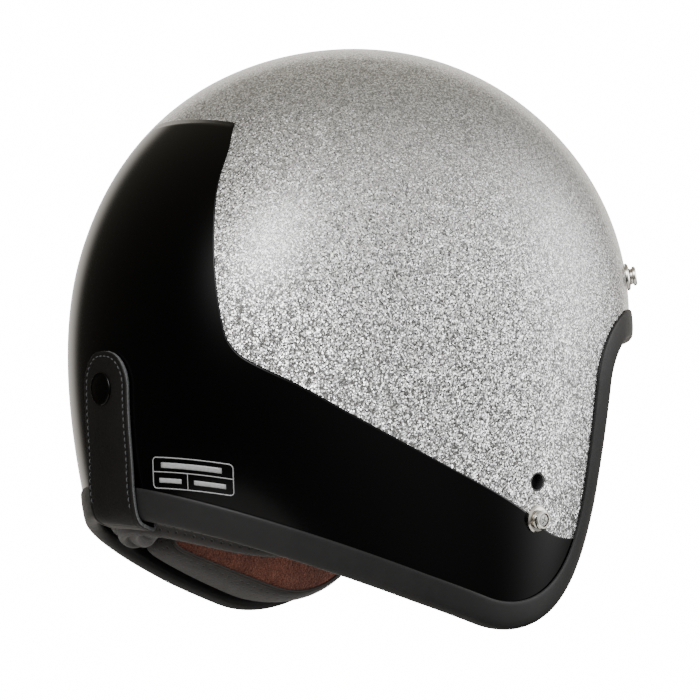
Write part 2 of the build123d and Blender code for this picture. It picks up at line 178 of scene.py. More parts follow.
def by_turn_and_z(turn, z):
    """Map places by angle about Z, in degrees from the back towards +X, and by Z."""
    turn, z = alike(np.radians(turn), z)
    polar = np.arccos(np.clip((z - widest_level) / crown_rise, -0.75, 0.99))
    reach = np.tan(polar / 2)
    return solve(
        np.sin(turn) * reach,
        np.cos(turn) * reach,
        lambda p: (p[..., 0] * np.cos(turn) - p[..., 1] * np.sin(turn), p[..., 2] - z),
    )


# -------- the rim
def turn_path(points, heading, radius, turn, count=24):
    """Adds an arc to a path of Y, Z points; turn is in degrees, positive to the left."""
    side = 1 if turn > 0 else -1
    centre = points[-1] + side * radius * np.array([-sin(heading), cos(heading)])
    for k in range(1, count + 1):
        a = heading + radians(turn) * k / count
        points.append(centre - side * radius * np.array([-sin(a), cos(a)]))
    return heading + radians(turn)


def rim_profile():
    """Side profile of the rim, from far behind the nape round to far ahead of the brow."""
    slope = nape_rise / (nape_y - rest_back)
    points = [np.array([beyond, slope * (beyond - rest_back)])]
    points += [np.array([rest_back, 0.0]), np.array([rest_front, 0.0])]
    heading = turn_path(points, pi, chin_corner_radius, -90)
    heading = turn_path(points, heading, cheek_arc_radius, -cheek_lean)
    points.append(points[-1] + cheek_line * np.array([cos(heading), sin(heading)]))
    heading = turn_path(points, heading, temple_radius, 90 + cheek_lean - brow_climb)
    points.append(points[-1] + brow_line * np.array([cos(heading), sin(heading)]))
    return np.array(points)


rim_points = rim_profile()


def rim_depth(points):
    """Distance in from the rim in the side view, in millimetres; negative outside it."""
    start, end = rim_points[:-1], rim_points[1:]
    run = end - start
    y = points[..., 1, None] - start[:, 0]
    z = points[..., 2, None] - start[:, 1]
    share = np.clip((y * run[:, 0] + z * run[:, 1]) / (run ** 2).sum(1), 0, 1)
    away = np.hypot(y - share * run[:, 0], z - share * run[:, 1])
    side = run[:, 1] * y - run[:, 0] * z
    nearest = away.argmin(-1)[..., None]
    distance = np.take_along_axis(away, nearest, -1)[..., 0]
    return np.where(np.take_along_axis(side, nearest, -1)[..., 0] >= 0, distance, -distance)


def climb(u, v, field, target, rounds=8):
    """Moves places straight across the form until field(points) has the target value."""
    longest = 0.05
    for _ in range(rounds):
        here = field(on_form(u, v))
        g_u, g_v = slopes(u, v, field)
        along_u, along_v = slopes(u, v)
        uu, uv, vv = ((a * b).sum(-1) for a, b in
                      ((along_u, along_u), (along_u, along_v), (along_v, along_v)))
        det = uu * vv - uv * uv
        w_u, w_v = (vv * g_u - uv * g_v) / det, (uu * g_v - uv * g_u) / det
        gain = (target - here) / np.maximum(g_u * w_u + g_v * w_v, 1e-9)
        u = u + np.clip(gain * w_u, -longest, longest)
        v = v + np.clip(gain * w_v, -longest, longest)
    return u, v


@cache
def walk_rim():
    """Close-set places along the rim from the middle of the nape, by the wearer's left, to the brow."""
    stride, first_v = 1.0, 1.9
    u, v = climb(np.array(0.0), np.array(first_v), rim_depth, 0, 30)
    path = [(0.0, float(v))]
    u = u * 0
    while u >= 0 or len(path) <= 50:
        g_u, g_v = slopes(u, v, rim_depth)
        along_u, along_v = slopes(u, v)
        length = np.linalg.norm(along_v * g_u - along_u * g_v)
        u, v = climb(u - stride * g_v / length, v + stride * g_u / length, rim_depth, 0, 2)
        path.append((float(u), float(v)))
    path[-1] = (0.0, float(v))
    return np.array(path)


def trace_rim(count):
    """Evenly spaced places along the rim."""
    path = walk_rim()
    run = running_length(on_form(path[:, 0], path[:, 1]))
    u, v = resample(path, run, np.linspace(0, run[-1], count)).T.copy()
    u[1:-1], v[1:-1] = climb(u[1:-1], v[1:-1], rim_depth, 0)
    return u, v


# -------- meshes
def new_piece(name, points, faces, materials, face_material=None, weave=None):
    """Mesh object from points in millimetres; weave holds a fabric coordinate for each face corner."""
    mesh = bpy.data.meshes.new(name)
    mesh.from_pydata((np.asarray(points) * mm).tolist(), [], [list(f) for f in faces])
    for material in materials:
        mesh.materials.append(material)
    if face_material is not None:
        mesh.polygons.foreach_set("material_index", np.asarray(face_material, np.int32))
    mesh.polygons.foreach_set("use_smooth", [True] * len(mesh.polygons))
    if weave is not None:
        mesh.uv_layers.new(name="weave").data.foreach_set("uv", np.asarray(weave, np.float32).ravel())
    mesh.validate()
    mesh.update()
    piece = bpy.data.objects.new(name, mesh)
    bpy.context.scene.collection.objects.link(piece)
    return piece


def circle(sides):
    """Cosine and sine at even steps round a circle."""
    return [(cos(2 * pi * k / sides), sin(2 * pi * k / sides)) for k in range(sides)]


def grid_faces(rows, columns, closed_rows=False, closed_columns=False, start=0):
    """Quads over a grid of points stored row by row."""
    faces = []
    for i in range(rows if closed_rows else rows - 1):
        here, ahead = start + i * columns, start + (i + 1) % rows * columns
        for j in range(columns if closed_columns else columns - 1):
            beside = (j + 1) % columns
            faces.append((here + j, here + beside, ahead + beside, ahead + j))
    return faces


def end_faces(total, sides, start=0):
    """Faces that close the first and the last ring of a row of rings."""
    return [tuple(range(start, start + sides)), tuple(range(start + total - sides, start + total))]


def face_out(piece):
    """Turns all faces of a closed piece to look outward."""
    made = bmesh.new()
    made.from_mesh(piece.data)
    bmesh.ops.recalc_face_normals(made, faces=made.faces)
    made.to_mesh(piece.data)
    made.free()
    return piece


def modify(piece, kind, **settings):
    """Adds one modifier with its settings."""
    modifier = piece.modifiers.new(kind.lower(), kind)
    for key, value in settings.items():
        setattr(modifier, key, value)
    return piece


def tube(name, path, radius, material, closed=True):
    """Round tube along a path of points in millimetres."""
    sides, first_side = 8, (0.3, 0.5, 0.8)
    path = np.asarray(path, float)
    if closed:
        ahead = np.roll(path, -1, 0) - np.roll(path, 1, 0)
    else:
        ahead = np.gradient(path, axis=0)
    ahead = unit(ahead)
    side = np.cross(ahead[0], first_side)
    points = []
    for point, forward in zip(path, ahead):
        side = unit(side - forward * side.dot(forward))
        other = np.cross(forward, side)
        points += [point + radius * (side * c + other * s) for c, s in circle(sides)]
    faces = grid_faces(len(path), sides, closed_rows=closed, closed_columns=True)
    if not closed:
        faces += end_faces(len(points), sides)
    return face_out(new_piece(name, points, faces, [material]))


def round_path(points, count):
    """Smooth curve through the given points, evenly spaced along its length."""
    points = np.asarray(points, float)
    padded = np.vstack([2 * points[0] - points[1], points, 2 * points[-1] - points[-2]])
    curve = []
    for i in range(1, len(padded) - 2):
        p0, p1, p2, p3 = padded[i - 1:i + 3]
        for t in np.linspace(0, 1, 16, endpoint=False):
            curve.append(0.5 * (2 * p1 + (p2 - p0) * t + (2 * p0 - 5 * p1 + 4 * p2 - p3) * t * t
                                + (3 * p1 - p0 - 3 * p2 + p3) * t ** 3))
    curve = np.array(curve + [points[-1]])
    run = running_length(curve)
    return resample(curve, run, np.linspace(0, run[-1], count))


# -------- materials
class Tree:
    """A node tree, with short ways to add to it."""

    def __init__(self, tree):
        self.tree = tree

    def feed(self, socket, value):
        """Gives a socket a value, or the socket that feeds it."""
        if isinstance(value, bpy.types.NodeSocket):
            self.tree.links.new(value, socket)
        else:
            socket.default_value = value

    def add(self, kind, inputs=None, **settings):
        """Adds a shader node and gives its outputs."""
        node = self.tree.nodes.new("ShaderNode" + kind)
        for key, value in settings.items():
            setattr(node, key, value)
        for key, value in (inputs or {}).items():
            self.feed(node.inputs[key], value)
        return node.outputs

    def maths(self, operation, *inputs):
        return self.add("Math", dict(enumerate(inputs)), operation=operation)[0]

    def vectors(self, operation, inputs):
        return self.add("VectorMath", inputs, operation=operation)


def shade(colour, factor):
    """Colour made lighter or darker."""
    return tuple(c * factor for c in colour)


class Nodes(Tree):
    """One material's node tree; the scales of its textures are per metre."""

    def __init__(self, name):
        self.material = bpy.data.materials.new(name)
        self.material.use_nodes = True
        super().__init__(self.material.node_tree)
        self.shader = self.tree.nodes["Principled BSDF"]
        self.place = self.add("TexCoord")["Object"]

    def made(self, **values):
        """Sets sockets of the shader, whose names have underscores for spaces, and gives the material."""
        for key, value in values.items():
            self.feed(self.shader.inputs[key.replace("_", " ")], value)
        return self.material

    def noise(self, scale, detail=3.0, roughness=0.5):
        return self.add("TexNoise", {"Vector": self.place, "Scale": scale, "Detail": detail,
                                     "Roughness": roughness})["Fac"]

    def cells(self, scale, feature="F1", randomness=1.0, source=None):
        return self.add("TexVoronoi", {"Vector": source or self.place, "Scale": scale,
                                       "Randomness": randomness}, feature=feature)

    def split(self, colour, channel):
        return self.add("SeparateColor", {"Color": colour})[channel]

    def between(self, value, low, high):
        """A value from 0 to 1 spread from low to high."""
        return self.add("MapRange", {"Value": value, "To Min": low, "To Max": high})[0]

    def ramp(self, factor, *stops):
        """Colour ramp through (position, colour or grey) stops."""
        colours = self.add("ValToRGB", {"Fac": factor})["Color"]
        elements = colours.node.color_ramp.elements
        while len(elements) < len(stops):
            elements.new(1.0)
        for element, (position, colour) in zip(elements, stops):
            element.position = position
            element.color = (*(colour if isinstance(colour, tuple) else (colour,) * 3), 1)
        return colours

    def bump(self, *layers):
        """Normal from stacked heights; each layer is (height socket, depth in metres)."""
        normal = None
        for height, depth in layers:
            inputs = {"Height": height, "Distance": depth, "Strength": 1.0}
            if normal is not None:
                inputs["Normal"] = normal
            normal = self.add("Bump", inputs)["Normal"]
        return normal


def flake_paint():
    """Silver metal flake under a clear coat: each flake is a cell with its own tilt and tone."""
    n = Nodes("flake_paint")
    flakes = n.cells(1750.0)["Color"]
    tilt = n.vectors("SUBTRACT", {0: flakes, 1: (0.5, 0.5, 0.5)})[0]
    spread = n.vectors("SCALE", {0: tilt, "Scale": 0.92})[0]
    straight = n.add("NewGeometry")["Normal"]
    leaning = n.vectors("NORMALIZE", {0: n.vectors("ADD", {0: straight, 1: spread})[0]})[0]
    tone = n.ramp(n.split(flakes, 2), (0.0, (0.13, 0.13, 0.127)), (0.6, 0.37), (0.88, 1.0))
    return n.made(Base_Color=tone, Metallic=0.85, Roughness=0.34, Normal=leaning,
                  Coat_Weight=1.0, Coat_Roughness=0.09, Coat_IOR=1.5)


def gloss_black():
    """Black lacquer with a trace of orange peel."""
    n = Nodes("gloss_black")
    tone = n.ramp(n.noise(9.0), (0.3, 0.0005), (0.7, (0.0009, 0.0008, 0.0008)))
    return n.made(Base_Color=tone, Roughness=0.12, Specular_IOR_Level=0.15,
                  Normal=n.bump((n.noise(60.0, 1.0), 0.00001)))


def rubber(name="trim_rubber", colour=(0.0085, 0.0083, 0.0083), rough=0.44):
    """Extruded rubber: fine pits, faint dust and slightly uneven sheen."""
    n = Nodes(name)
    dust = n.noise(70.0, 5.0, 0.7)
    gloss = n.between(n.noise(240.0, 4.0), rough - 0.05, rough + 0.12)
    return n.made(Base_Color=n.ramp(dust, (0.3, colour), (0.75, shade(colour, 1.35))), Roughness=gloss,
                  Specular_IOR_Level=0.2,
                  Normal=n.bump((n.noise(1500.0, 4.0), 0.00004), (n.noise(60.0, 2.0), 0.0002)))


def leather(name="strap_leather", colour=(0.0026, 0.0024, 0.0021), rough=0.52):
    """Matte black leather: fine pebble grain, pores and creases."""
    n = Nodes(name)
    grain = n.cells(1100.0, "SMOOTH_F1")["Distance"]
    wear = n.noise(45.0, 6.0, 0.65)
    return n.made(Base_Color=n.ramp(wear, (0.35, colour), (0.75, shade(colour, 1.7))), Roughness=rough,
                  Specular_IOR_Level=0.2, Normal=n.bump((grain, 0.00009), (n.noise(320.0, 5.0), 0.00006)))


def two_tone(name, texture, dark, light, depth=0.0, span=(0.3, 0.7), **shader):
    """Finish in two tones over a span of one noise, which also gives its bump, of a depth in metres."""
    n = Nodes(name)
    marks = n.noise(*texture)
    if depth:
        shader["Normal"] = n.bump((marks, depth))
    return n.made(Base_Color=n.ramp(marks, (span[0], dark), (span[1], light)), **shader)


def perforated():
    """Dark lining cloth with a fine weave and punched holes in staggered rows, by its UV map in metres; the
    holes are painted near black as painted shade inside them.
    """
    n = Nodes("lining_fabric")
    # The second colour is near black: painted shade inside the punched holes
    colour, hole_shade_colour, hole_pitch = (0.0155, 0.0122, 0.0107), (0.003, 0.002, 0.002, 1), 0.0042
    weave = n.noise(2600.0, 2.0, 0.6)
    spots = n.add("UVMap")["UV"]
    hole = n.ramp(n.cells(1 / hole_pitch, "F1", 0.0, spots)["Distance"], (0.12, 0.0), (0.18, 1.0))
    cloth = n.ramp(weave, (0.3, shade(colour, 0.75)), (0.7, shade(colour, 1.45)))
    # The holes take the near-black colour, painted shade where the cloth is punched through
    mix = n.add("Mix", {"Factor": hole, 6: hole_shade_colour, 7: cloth}, data_type="RGBA")
    return n.made(Base_Color=mix[2], Roughness=0.78, Sheen_Weight=0.15, Sheen_Roughness=0.5,
                  Normal=n.bump((weave, 0.00012), (hole, 0.0005)))


def plush():
    """Short reddish-brown plush: tufts, and patches where the pile lies over."""
    n = Nodes("plush")
    tufts = n.cells(900.0)["Distance"]
    lie = n.noise(42.0, 5.0, 0.65)
    strands = n.noise(2400.0, 4.0, 0.7)
    height = n.maths("ADD", tufts, strands)
    mixed = n.maths("ADD", n.maths("MULTIPLY", lie, 0.3), n.maths("MULTIPLY", strands, 0.7))
    tone = n.ramp(mixed, (0.34, (0.026, 0.007, 0.004)), (0.5, (0.085, 0.025, 0.014)),
                  (0.66, (0.34, 0.115, 0.070)))
    return n.made(Base_Color=tone, Roughness=0.95, Sheen_Weight=0.35, Sheen_Roughness=0.35,
                  Sheen_Tint=(0.62, 0.30, 0.22, 1), Normal=n.bump((height, 0.0006), (lie, 0.0012)))


def nickel():
    """Polished nickel with faint turning marks and tarnish."""
    n = Nodes("nickel")
    marks = n.noise(160.0, 5.0, 0.7)
    return n.made(Base_Color=n.ramp(marks, (0.3, (0.50, 0.47, 0.42)), (0.7, (0.78, 0.76, 0.72))),
                  Metallic=1.0, Roughness=n.between(marks, 0.10, 0.26))


def moulded(name, colour, rough):
    """Moulded plastic with a fine spark-eroded grain."""
    n = Nodes(name)
    tone = n.ramp(n.noise(30.0, 4.0), (0.3, colour), (0.7, shade(colour, 1.25)))
    return n.made(Base_Color=tone, Roughness=rough, Normal=n.bump((n.noise(1900.0, 3.0, 0.6), 0.00006)))


def bead_foam():
    """Moulded bead foam: closed cells of about three millimetres."""
    n = Nodes("eps_foam")
    per_metre = 380.0
    beads = n.cells(per_metre)["Color"]
    rim = n.ramp(n.cells(per_metre, "DISTANCE_TO_EDGE")["Distance"], (0.0, 0.0), (0.12, 1.0))
    tone = n.ramp(n.split(beads, 0), (0.0, (0.018, 0.018, 0.019)), (1.0, (0.042, 0.042, 0.044)))
    return n.made(Base_Color=tone, Roughness=0.7, Normal=n.bump((rim, 0.0003)))


def woven():
    """Flat nylon webbing: twill ribs along and across the strap."""
    n = Nodes("webbing")
    colour = (0.014, 0.014, 0.015)
    across, along = (n.add("TexWave", {"Vector": n.place, "Scale": scale, "Distortion": 0.4},
                           bands_direction=direction)["Fac"]
                     for direction, scale in (("Y", 190.0), ("Z", 260.0)))
    weave = n.maths("MULTIPLY", across, along)
    return n.made(Base_Color=n.ramp(weave, (0.0, shade(colour, 0.6)), (0.6, shade(colour, 1.8))),
                  Roughness=0.62, Sheen_Weight=0.2, Normal=n.bump((weave, 0.0003)))


silver, black = flake_paint(), gloss_black()
trim_rubber, strap_leather = rubber(), leather()
cut_edge = two_tone("raw_edge", (1300.0, 6.0, 0.8), (0.022, 0.023, 0.024), (0.15, 0.155, 0.16), 0.00025,
                    Roughness=0.85)
lining, pile = perforated(), plush()
piping_cloth = leather("piping", (0.020, 0.017, 0.015), 0.6)
bright = nickel()
zinc = two_tone("screw_steel", (420.0, 5.0, 0.75), (0.34, 0.34, 0.33), (0.60, 0.60, 0.58), 0.00003,
                Metallic=1.0, Roughness=0.3)
print_line = two_tone("label_print", (900.0,), (0.18, 0.185, 0.185), (0.29, 0.295, 0.295), span=(0.2, 0.8),
                      Roughness=0.4)
black_plastic = moulded("black_plastic", (0.012, 0.012, 0.012), 0.45)
foam, webbing = bead_foam(), woven()
grey_thread = two_tone("grey_thread", (3000.0,), (0.030, 0.0312, 0.033), (0.050, 0.052, 0.055), 0.0001,
                       Roughness=0.8)


# -------- shell and painted panel
def shell_piece():
    """Outer shell as one closed form, with clean edges at the rim and round the side vents."""
    reach, count, farthest = 2.42, 372, 2.5
    line = np.linspace(-reach, reach, count)
    a, b = np.meshgrid(line, line, indexing="ij")
    polar = np.hypot(a, b)
    stretch = np.tan(np.minimum(polar, farthest) / 2) / np.maximum(polar, 1e-6)
    u, v = a * stretch, b * stretch
    vents = [on_form(*by_y_and_z(vent_y, vent_z, hand)) for hand in (1, -1)]

    def inside(points):
        """Distance in from the nearest edge of the shell, in millimetres."""
        depth = rim_depth(points) - shell_setback
        for vent in vents:
            depth = np.minimum(depth, np.linalg.norm(points - vent, axis=-1) - vent_radius)
        return depth

    kept = (inside(on_form(u, v)) > 0) & (polar < reach)
    cell = kept[:-1, :-1] & kept[1:, :-1] & kept[1:, 1:] & kept[:-1, 1:]
    index = -np.ones((count, count), int)
    rows, columns = np.nonzero(cell)
    corners = [(rows, columns), (rows + 1, columns), (rows + 1, columns + 1), (rows, columns + 1)]
    for r, c in corners:
        index[r, c] = 1
    used = index > 0
    index[used] = np.arange(used.sum())
    quads = np.stack([index[r, c] for r, c in corners], -1)
    edges = dict.fromkeys((quad[k], quad[(k + 1) % 4]) for quad in quads.tolist() for k in range(4))
    border = [pair for pair in edges if pair[::-1] not in edges]
    u, v = u[used], v[used]
    on_edge = np.unique(np.array(border))
    u[on_edge], v[on_edge] = climb(u[on_edge], v[on_edge], inside, 0, 6)
    outer, out = on_form(u, v), normal_at(u, v)
    total = len(outer)
    points = np.vstack([outer, outer - out * shell_thickness])
    faces = quads.tolist() + (quads[:, ::-1] + total).tolist()
    faces += [(q, p, p + total, q + total) for p, q in border]
    piece = new_piece("shell", points, faces, [silver])
    normals = []
    for polygon in piece.data.polygons:
        wall = min(polygon.vertices) < total <= max(polygon.vertices)
        normals += [tuple(polygon.normal if wall else out[k] if k < total else -out[k - total])
                    for k in polygon.vertices]
    piece.data.normals_split_custom_set(normals)
    return piece


# Upper edge of the black panel on the wearer's left: angle about Z from the back, and height
panel_top = 191.4
panel_edge = [
    (0.0, panel_top), (7.0, panel_top), (14.4, panel_top - 0.3), (15.5, panel_top - 1.0),
    (15.9, panel_top - 2.4), (16.2, panel_top - 4.6), (17.1, 182.7), (18.5, 174.7), (20.1, 157.0),
    (23.0, 135.4), (26.3, 112.7), (29.1, 96.5), (31.1, 88.0), (34.4, 82.3), (39.5, 79.2), (48.0, 76.0),
    (60.5, 70.6), (73.3, 66.3), (87.0, 62.6), (101.0, 59.6), (110.5, 56.8), (115.5, 54.0), (120.0, 53.0),
    (125.0, 54.4), (130.5, 57.6),
]


def panel_piece():
    """Gloss black panel round the back and the lower sides, a thin coat laid on the shell."""
    foot_depth, lift, thickness, rows = 9.0, 0.14, 0.3, 70
    height_weight = 3  # one degree counts as three millimetres when the edge's points are spaced
    edge = round_path([(turn, z / height_weight) for turn, z in panel_edge], 260)
    half_u, half_v = by_turn_and_z(edge[:, 0], edge[:, 1] * height_weight)
    low_u, low_v = climb(*trace_rim(600), rim_depth, foot_depth, 12)
    top, foot = on_form(half_u, half_v), on_form(low_u, low_v)
    last = np.argmin(np.linalg.norm(foot - top[-1], axis=-1)) + 1
    top_turn, foot_turn = (np.degrees(np.arctan2(line[:, 0], line[:, 1])) for line in (top, foot[:last]))
    foot_u = np.interp(top_turn, foot_turn, low_u[:last])
    foot_v = np.interp(top_turn, foot_turn, low_v[:last])
    steps = np.linspace(0, 1, rows)[:, None]
    u = half_u + (foot_u - half_u) * steps
    v = half_v + (foot_v - half_v) * steps
    u, v = np.hstack([-u[:, :0:-1], u]), np.hstack([v[:, :0:-1], v])
    piece = new_piece("rear_panel", at_offset(u, v, lift).reshape(-1, 3), grid_faces(*u.shape), [black])
    if piece.data.polygons[len(piece.data.polygons) // 2].normal.dot(Vector((0, 1, -0.3))) < 0:
        piece.data.flip_normals()
    piece.data.normals_split_custom_set_from_vertices(normal_at(u, v).reshape(-1, 3).tolist())
    return modify(piece, "SOLIDIFY", thickness=thickness * mm, offset=-1)


# -------- edge trim
def trim_piece():
    """Rubber channel round the rim: two legs and a round back, with a slim lip on the shell."""
    u, v = trace_rim(460)
    wide, back_reach, back_middle, back_half, floor = trim_width, 3.2, -2.15, 4.05, -4.1
    # Section as depth in from the rim and offset from the form: lip, outer leg, back, inner leg, slot
    section = [(2.6, 0.0), (wide - 0.3, 0.0), (wide, 0.5), (wide - 0.25, 1.05), (wide - 1.1, 1.35),
               (wide - 2.6, 1.5), (9.0, 1.75), (6.0, trim_outside), (4.2, trim_outside)]
    section += [(back_reach * (1 - cos(radians(a))), back_middle + back_half * sin(radians(a)))
                for a in range(75, -76, -15)]
    section += [(4.5, -trim_inside), (9.0, -trim_inside), (wide - 1.2, -trim_inside), (wide - 0.2, -5.4),
                (wide, -4.6), (wide - 0.3, floor), (2.6, floor)]
    half = np.stack([at_offset(*climb(u, v, rim_depth, max(depth, 0.001), 10), offset)
                     for depth, offset in section], 1)
    half[0, :, 0] = half[-1, :, 0] = 0
    points = np.vstack([half, half[-2:0:-1] * (-1, 1, 1)])
    faces = grid_faces(len(points), len(section), closed_rows=True, closed_columns=True)
    piece = face_out(new_piece("rim_trim", points.reshape(-1, 3), faces, [trim_rubber]))
    return modify(piece, "SUBSURF", levels=1, render_levels=1)


# -------- goggle strap
# Middle line of the strap as height and offset; it passes under the trim and up inside
strap_line = [
    (strap_top, strap_lie), (66, strap_lie), (50, strap_lie), (32, strap_lie + 0.1), (22, 2.4), (15, 3.2),
    (8, 3.6), (4.4, 3.4), (2.2, 2.5), (1.25, 0.9), (1.1, -1.5), (1.15, -4.2), (1.7, -6.2), (3.6, -7.5),
    (7.0, -7.65), (14, -7.6), (26, -7.6),
]


def strap_place(x, z, offset):
    """Points behind the shell with these X and Z at an offset from the form, and normals there."""
    base = np.array(z, float)
    for _ in range(4):
        u, v = by_x_and_z(x, base)
        out = normal_at(u, v)
        base = z - out[..., 2] * offset
    return at_offset(u, v, offset), out


def strap_pieces():
    """Leather tab, crowned between two stitched grooves, and the root that it meets under the trim."""
    path = round_path(strap_line, 150)
    edge_round, edge_reach, groove_depth, groove_half = 0.3, 0.5, 0.22, 0.45
    crown_height, crown_reach = 0.22, 8
    far = 99  # the root has no rounded end
    border = np.linspace(0.72, 1, 12)
    across = np.concatenate([-border[::-1], np.linspace(-0.66, 0.66, 17), border])
    rise = np.clip((np.where(path[:, 1] > 0, path[:, 0], 0) - strap_top + strap_corner) / strap_corner, 0, 1)
    half = strap_width / 2 - strap_corner * (1 - np.sqrt(1 - rise ** 2))
    x = half[:, None] * across + strap_middle
    z, offset = (np.broadcast_to(path[:, k:k + 1], x.shape) for k in (0, 1))
    middle, _ = strap_place(x, z, offset)
    out = unit(np.cross(np.gradient(middle, axis=1), np.gradient(middle, axis=0)))
    if out[20, 20, 1] < 0:
        out = -out
    inset = np.minimum(half[:, None] - np.abs(x - strap_middle), np.where(offset > 0, strap_top - z, far))
    round_off = edge_round * (1 - np.sqrt(1 - np.clip(1 - inset / edge_reach, 0, 1) ** 2))
    groove = groove_depth * np.exp(-((inset - seam_inset) / groove_half) ** 2)
    crown = crown_height * np.clip((inset - seam_inset) / crown_reach, 0, 1)
    outer = middle + out * (strap_half_thickness - round_off - groove + crown)[..., None]
    inner = middle - out * (strap_half_thickness - round_off)[..., None]
    turn = np.argmax(path[:, 1] < strap_turn)
    return (leather_strip("strap", outer[:turn + 1], inner[:turn + 1]),
            leather_strip("strap_root", outer[turn:], inner[turn:]))


def leather_strip(name, outer, inner):
    """Strip of leather between its outer and inner faces, with a cut edge all round."""
    rows, columns = outer.shape[:2]
    points = np.vstack([outer.reshape(-1, 3), inner.reshape(-1, 3)])
    total = rows * columns
    top = grid_faces(rows, columns)
    faces = top + [tuple(total + k for k in reversed(f)) for f in top]
    loop = [*range(columns)] + [i * columns + columns - 1 for i in range(1, rows)]
    loop += [(rows - 1) * columns + j for j in range(columns - 2, -1, -1)]
    loop += [i * columns for i in range(rows - 2, 0, -1)]
    walls = [(p, p + total, q + total, q) for p, q in zip(loop, loop[1:] + loop[:1])]
    kinds = [0] * len(faces) + [1] * len(walls)
    return face_out(new_piece(name, points, faces + walls, [strap_leather, cut_edge], kinds))


def strap_stitches():
    """Stitched row just inside the strap's outline: up one side, round the end and down the other."""
    low, first_rise, top_rise, lift = 5.0, 10, 22, 1.02
    pitch, length, radius, sides = 3.1, 2.3, 0.3, 6
    # Lift and fullness along one stitch
    shape = ((-0.3, 0.55), (0.12, 0.95), (0.2, 1.0), (0.12, 0.95), (-0.3, 0.55))
    reach, bend, start = strap_width / 2 - seam_inset, strap_corner - seam_inset, strap_top - strap_corner
    outline = [(-reach, z) for z in np.linspace(low, start, 30)]
    outline += [(-reach + bend * (1 - cos(a)), start + bend * sin(a)) for a in np.linspace(0.1, pi / 2, 10)]
    x, z = np.array(outline + [(-x, z) for x, z in reversed(outline)]).T
    lie = strap_over_trim + (strap_lie - strap_over_trim) * ease((z - first_rise) / top_rise)
    path, normals = strap_place(x + strap_middle, z, lie + lift)
    run = running_length(path)
    points, faces = [], []
    for first in np.arange(pitch / 2, run[-1] - length, pitch):
        s = first + np.linspace(0, length, len(shape))
        line, out = resample(path, run, s), resample(normals, run, s)
        forward = unit(line[-1] - line[0])
        base = len(points)
        for spot, up, (rise, fullness) in zip(line, out, shape):
            other = np.cross(forward, up)
            points += [spot + up * rise + radius * fullness * (up * c + other * s) for c, s in circle(sides)]
        faces += grid_faces(len(shape), sides, closed_columns=True, start=base)
        faces += end_faces(len(shape) * sides, sides, base)
    return face_out(new_piece("strap_stitches", points, faces, [grey_thread]))


def snap_cap():
    """Lacquered cap of the strap's snap: a low dome in a rolled rim, turned about the strap's normal."""
    sides, base = 64, strap_lie + 1.15
    outline = [(0.01, 0), (7.4, 0), (7.8, 0.3), (7.8, 0.7), (7.45, 1.0), (7.05, 0.85), (6.8, 0.8),
               (5.6, 1.05), (4.0, 1.28), (2.0, 1.4), (0.01, 1.42)]
    u, v = by_x_and_z(cap_middle, cap_level)
    origin, out = on_form(u, v), normal_at(u, v)
    across = unit(np.cross((0, 0, 1), out))
    along = np.cross(out, across)
    points = [origin + radius * (across * c + along * s) + out * (base + height)
              for radius, height in outline for c, s in circle(sides)]
    faces = grid_faces(len(outline), sides, closed_columns=True) + end_faces(len(points), sides)
    cap = face_out(new_piece("snap_cap", points, faces, [black]))
    return modify(cap, "BEVEL", width=0.12 * mm, segments=2, limit_method="ANGLE")


# -------- padded pieces
def padded_grid(name, points, materials, face_rings=0, girth_row=None):
    """Closed cushion from rings of points, with a fabric map along and around it.

    The first face_rings rows take the second material; girth_row is the ring the map is measured round.
    """
    rows, columns = points.shape[:2]
    girth = points[rows // 2 if girth_row is None else girth_row]
    along, around = (running_length(line) * mm
                     for line in (points[:, columns // 4], np.vstack([girth, girth[:1]])))
    i, j = np.meshgrid(np.arange(rows - 1), np.arange(columns), indexing="ij")
    corners = [(i, j), (i, j + 1), (i + 1, j + 1), (i + 1, j)]
    weave = np.stack([np.stack([along[a], around[b]], -1) for a, b in corners], 2).reshape(-1, 2)
    weave = np.vstack([weave, np.zeros((2 * columns, 2))])
    faces = grid_faces(rows, columns, closed_columns=True) + end_faces(rows * columns, columns)
    kinds = [int(k // columns < face_rings) for k in range((rows - 1) * columns)] + [int(face_rings > 0)] * 2
    return face_out(new_piece(name, points.reshape(-1, 3), faces, materials, kinds, weave))


def power(value, exponent):
    """Signed power, which squares off a sine or cosine."""
    return np.sign(value) * np.abs(value) ** exponent


def swell(piece, cap):
    """Lets a cover swell as cloth under pressure, by no more than the cap in millimetres."""
    pressure, stiffness, last_frame = 4.0, 12, 20
    start = np.zeros(len(piece.data.vertices) * 3, np.float32)
    end = start.copy()
    piece.data.vertices.foreach_get("co", start)
    modifier = piece.modifiers.new("swell", "CLOTH")
    cloth = modifier.settings
    cloth.quality = 6
    cloth.use_pressure, cloth.uniform_pressure_force = True, pressure
    cloth.effector_weights.gravity = 0
    cloth.tension_stiffness = cloth.compression_stiffness = stiffness
    modifier.collision_settings.use_collision = False
    modifier.point_cache.frame_start, modifier.point_cache.frame_end = 1, last_frame
    for number in range(1, last_frame + 1):
        bpy.context.scene.frame_set(number)
    shaped = piece.evaluated_get(bpy.context.evaluated_depsgraph_get()).data
    shaped.vertices.foreach_get("co", end)
    piece.modifiers.remove(modifier)
    bpy.context.scene.frame_set(1)
    shift = (end - start).reshape(-1, 3)
    shift -= shift.mean(0)
    reach = np.linalg.norm(shift, axis=1, keepdims=True)
    shift *= np.minimum(1, cap * mm / np.maximum(reach, 1e-9))
    piece.data.vertices.foreach_set("co", (start.reshape(-1, 3) + shift).ravel())
    piece.data.update()
    return piece


neck_reach, neck_sag, neck_seam_depth, neck_seam_half = 67.5, 7.5, 0.13, 0.10
neck_level, neck_half_height, neck_depth, neck_half_depth = 20.0, 22.0, 21.5, 11.2
neck_seams = [radians(a) for a in (-52, -84, -112, -150)]


